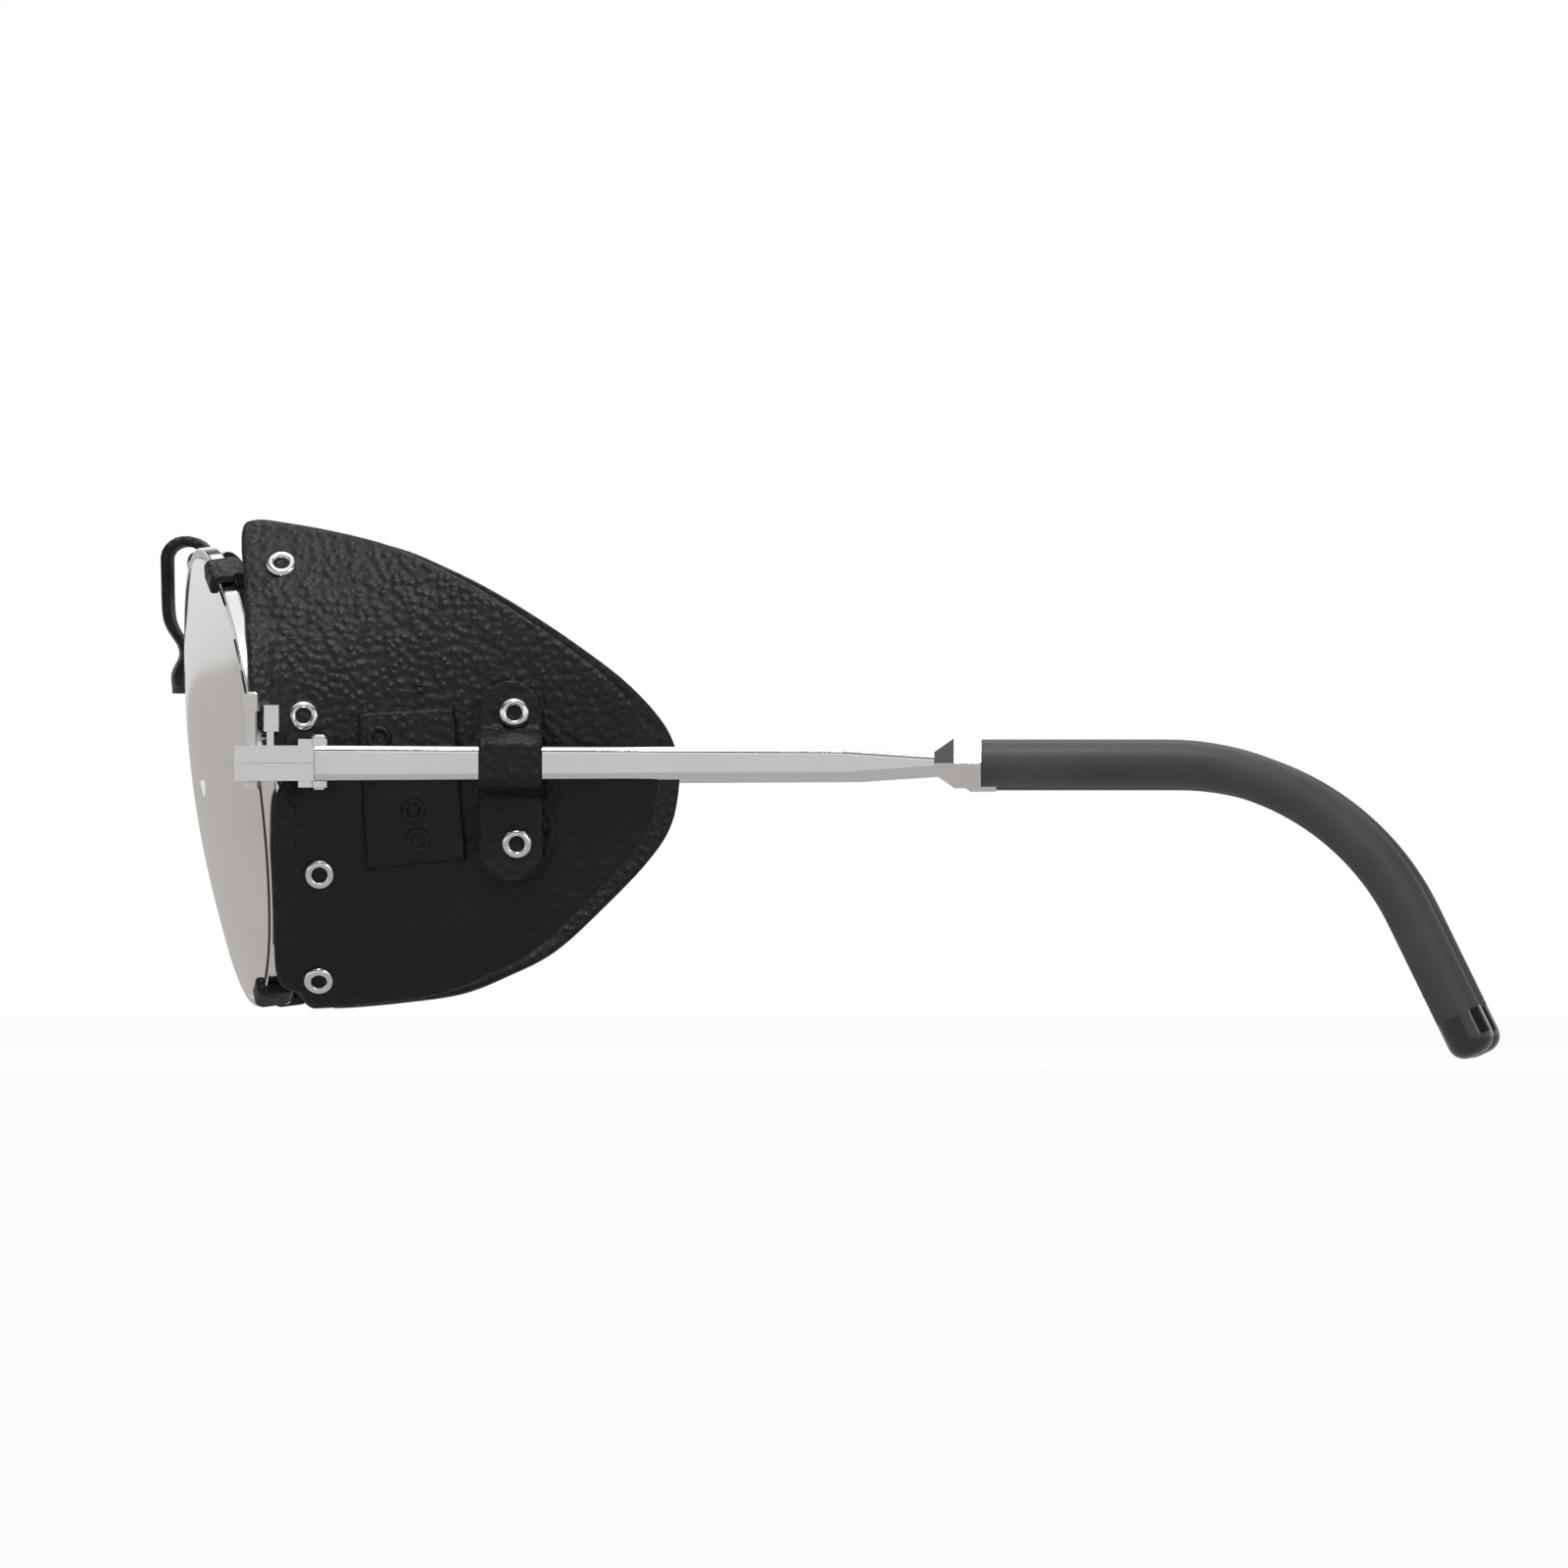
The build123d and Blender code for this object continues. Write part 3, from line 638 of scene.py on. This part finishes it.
# ---------------------------------------------------------------- nose guard
GUARD_FORWARD = 1.3 * MM
GUARD_FOLD = 2.0 * MM    # radius of the fold over the bar
GUARD_TUCK = 3.8 * MM    # the short flap behind it
GUARD_HALF_WIDTH = 12.2
GUARD_NARROWING = 3.6


def nose_guard():
    """Leather folded over the bridge bar, falling in front of the nose."""
    low, high = (Vector(corner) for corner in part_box("nose_guard"))
    fold = Vector((0, (low.y + high.y) / 2, high.z - 2.6 * MM))
    radius = GUARD_FOLD
    drop = fold.z - low.z
    rows, columns = 46, 30
    tuck = GUARD_TUCK
    total = tuck + math.pi * radius + drop
    points = []
    for layer in (0.5, -0.5):
        for row in range(rows + 1):
            travel = total * row / rows
            for column in range(columns + 1):
                across = -1 + 2 * column / columns
                if travel < tuck:
                    y, z, lean = radius, -(tuck - travel), (1.0, 0.0)
                elif travel < tuck + math.pi * radius:
                    turn = (travel - tuck) / radius
                    y, z = radius * math.cos(turn), radius * math.sin(turn)
                    lean = (math.cos(turn), math.sin(turn))
                else:
                    y, z, lean = -radius, -(travel - tuck - math.pi * radius), (-1.0, 0.0)
                level = min(max(-z / drop, 0.0), 1.0)
                width = (GUARD_HALF_WIDTH - GUARD_NARROWING * level ** 0.8) * MM
                corner = min(max((level - 0.80) / 0.20, 0.0), 1.0)
                width *= math.sqrt(max(1 - 0.55 * corner**2.2, 0.05))
                pinch = math.exp(-(((level - 0.70) / 0.16) ** 2))
                curl = GUARD_FORWARD - 2.0 * MM * pinch - 1.1 * MM * smooth_step(level, 0.78, 1.0)
                curl *= smooth_step(travel, 0.0, tuck + math.pi * radius)
                hug = 0.5 * MM * abs(across) ** 2 * level
                edge = 1 - 0.35 * abs(across) ** 8
                point = Vector((across * width, y - curl + hug, z))
                point.y += lean[0] * layer * LEATHER * edge
                point.z += lean[1] * layer * LEATHER * edge
                points.append(fold + point)
    piece = make_piece("leather_nose_guard", points, slab_faces(rows, columns), LEATHER_LOOK)
    recalculate(piece)
    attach(piece, "front")
    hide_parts("nose_guard")


# ---------------------------------------------------------------- stage, light, camera
VIEW_WIDTH = 177.8 * MM  # across the frame, at the nearer side of the object
LENS_MM = 1600.0
SENSOR_MM = 36.0
YAW = 0.0159
PITCH = 0.0030


def stage():
    bpy.ops.mesh.primitive_plane_add(size=30.0, location=(0, 0, -0.0002))
    floor = bpy.context.object
    floor.name = "floor"
    material, nodes, links, shader = new_material("pale_floor")
    where = coordinates(nodes, links, (1.0, 1.0, 1.0))
    tone = noise(nodes, links, where, 3.0)
    links.new(ramp(nodes, links, tone, ((0.0, (0.83, 0.83, 0.83)), (1.0, (0.85, 0.85, 0.85)))),
              shader.inputs["Base Color"])
    shader.inputs["Roughness"].default_value = 0.9
    glow = nodes.new("ShaderNodeEmission")
    glow.inputs["Color"].default_value = (1.0, 1.0, 1.0, 1.0)
    dim = nodes.new("ShaderNodeEmission")
    dim.inputs["Color"].default_value = (0.50, 0.475, 0.455, 1.0)
    path = nodes.new("ShaderNodeLightPath")
    seen = nodes.new("ShaderNodeMath")
    seen.operation = "MULTIPLY"
    seen.inputs[1].default_value = 0.94
    links.new(path.outputs["Is Camera Ray"], seen.inputs[0])
    first = nodes.new("ShaderNodeMixShader")
    links.new(seen.outputs[0], first.inputs["Fac"])
    links.new(shader.outputs[0], first.inputs[1])
    links.new(glow.outputs[0], first.inputs[2])
    second = nodes.new("ShaderNodeMixShader")
    links.new(path.outputs["Is Glossy Ray"], second.inputs["Fac"])
    links.new(first.outputs[0], second.inputs[1])
    links.new(dim.outputs[0], second.inputs[2])
    links.new(second.outputs[0], nodes["Material Output"].inputs["Surface"])
    floor.data.materials.append(material)


def world():
    sky = bpy.data.worlds.new("studio")
    bpy.context.scene.world = sky
    sky.use_nodes = True
    nodes, links = sky.node_tree.nodes, sky.node_tree.links
    ambient = nodes["Background"]
    place = nodes.new("ShaderNodeTexCoord")
    split = nodes.new("ShaderNodeSeparateXYZ")
    links.new(place.outputs["Generated"], split.inputs["Vector"])
    level = nodes.new("ShaderNodeMapRange")
    level.inputs["From Min"].default_value = -1.0
    links.new(split.outputs["Z"], level.inputs["Value"])
    tone = ramp(nodes, links, level.outputs["Result"],
                ((0.0, (0.20, 0.19, 0.18)), (0.46, (0.52, 0.50, 0.48)), (0.52, (0.82, 0.82, 0.82)),
                 (0.62, (1.0, 1.0, 1.0)), (0.70, (0.10, 0.10, 0.11)), (0.82, (0.14, 0.14, 0.15)),
                 (0.92, (1.0, 1.0, 1.0))))
    ambient.inputs["Color"].default_value = (1.0, 1.0, 1.0, 1.0)
    ambient.inputs["Strength"].default_value = 0.42
    mirrored = nodes.new("ShaderNodeBackground")
    links.new(tone, mirrored.inputs["Color"])
    backdrop = nodes.new("ShaderNodeBackground")
    backdrop.inputs["Color"].default_value = (1.0, 1.0, 1.0, 1.0)
    path = nodes.new("ShaderNodeLightPath")
    mix = nodes.new("ShaderNodeMixShader")
    gloss = nodes.new("ShaderNodeMixShader")
    links.new(path.outputs["Is Glossy Ray"], gloss.inputs["Fac"])
    links.new(ambient.outputs[0], gloss.inputs[1])
    links.new(mirrored.outputs[0], gloss.inputs[2])
    links.new(path.outputs["Is Camera Ray"], mix.inputs["Fac"])
    links.new(gloss.outputs[0], mix.inputs[1])
    links.new(backdrop.outputs[0], mix.inputs[2])
    links.new(mix.outputs[0], nodes["World Output"].inputs["Surface"])


def lamp(name, place, target, size, power):
    data = bpy.data.lights.new(name, "AREA")
    data.shape = "RECTANGLE"
    data.size, data.size_y = size
    data.energy = power
    lamp_object = bpy.data.objects.new(name, data)
    bpy.context.scene.collection.objects.link(lamp_object)
    lamp_object.location = place
    aim = Vector(target) - Vector(place)
    lamp_object.rotation_euler = aim.to_track_quat("-Z", "Y").to_euler()


def camera():
    """A long lens, level with the arm and square to the wearer's left side."""
    data = bpy.data.cameras.new("camera")
    data.lens = LENS_MM
    data.sensor_width = SENSOR_MM
    data.clip_end = 100.0
    eye = bpy.data.objects.new("camera", data)
    bpy.context.scene.collection.objects.link(eye)
    low, high = cad_box
    target = Vector((high[0], (low[1] + high[1]) / 2 - 4.7 * MM, 31.2 * MM))
    heading = Vector((-1.0, -YAW, PITCH)).normalized()
    eye.location = target - heading * (VIEW_WIDTH * LENS_MM / SENSOR_MM)
    eye.rotation_euler = heading.to_track_quat("-Z", "Y").to_euler()
    bpy.context.scene.camera = eye


dress_nodes()
for side_name, side_sign in SIDES.items():
    shield(side_name, side_sign)
    panel(side_name, side_sign)
    strap(side_name, side_sign)
    eyelets(side_name, side_sign, "front", FRONT_EYELETS, LEATHER, "front")
    eyelets(side_name, side_sign, "strap", STRAP_EYELETS, STRAP_LIFT, f"{side_name}_temple")
    for loop_key, loop_angle in LOOP_ANGLES.items():
        rim_loop(side_name, side_sign, loop_key, loop_angle)
nose_guard()
stage()
world()
lamp("key", (0.50, -0.10, 0.85), (0.0, -0.04, 0.03), (0.22, 0.22), 4.5)
lamp("fill", (0.7, 0.6, 0.45), (0.0, 0.0, 0.03), (0.5, 0.3), 1.0)
lamp("back", (-0.5, 0.1, 0.8), (0.0, 0.0, 0.03), (0.7, 0.7), 2.5)
camera()
bpy.context.scene.view_settings.view_transform = "Standard"
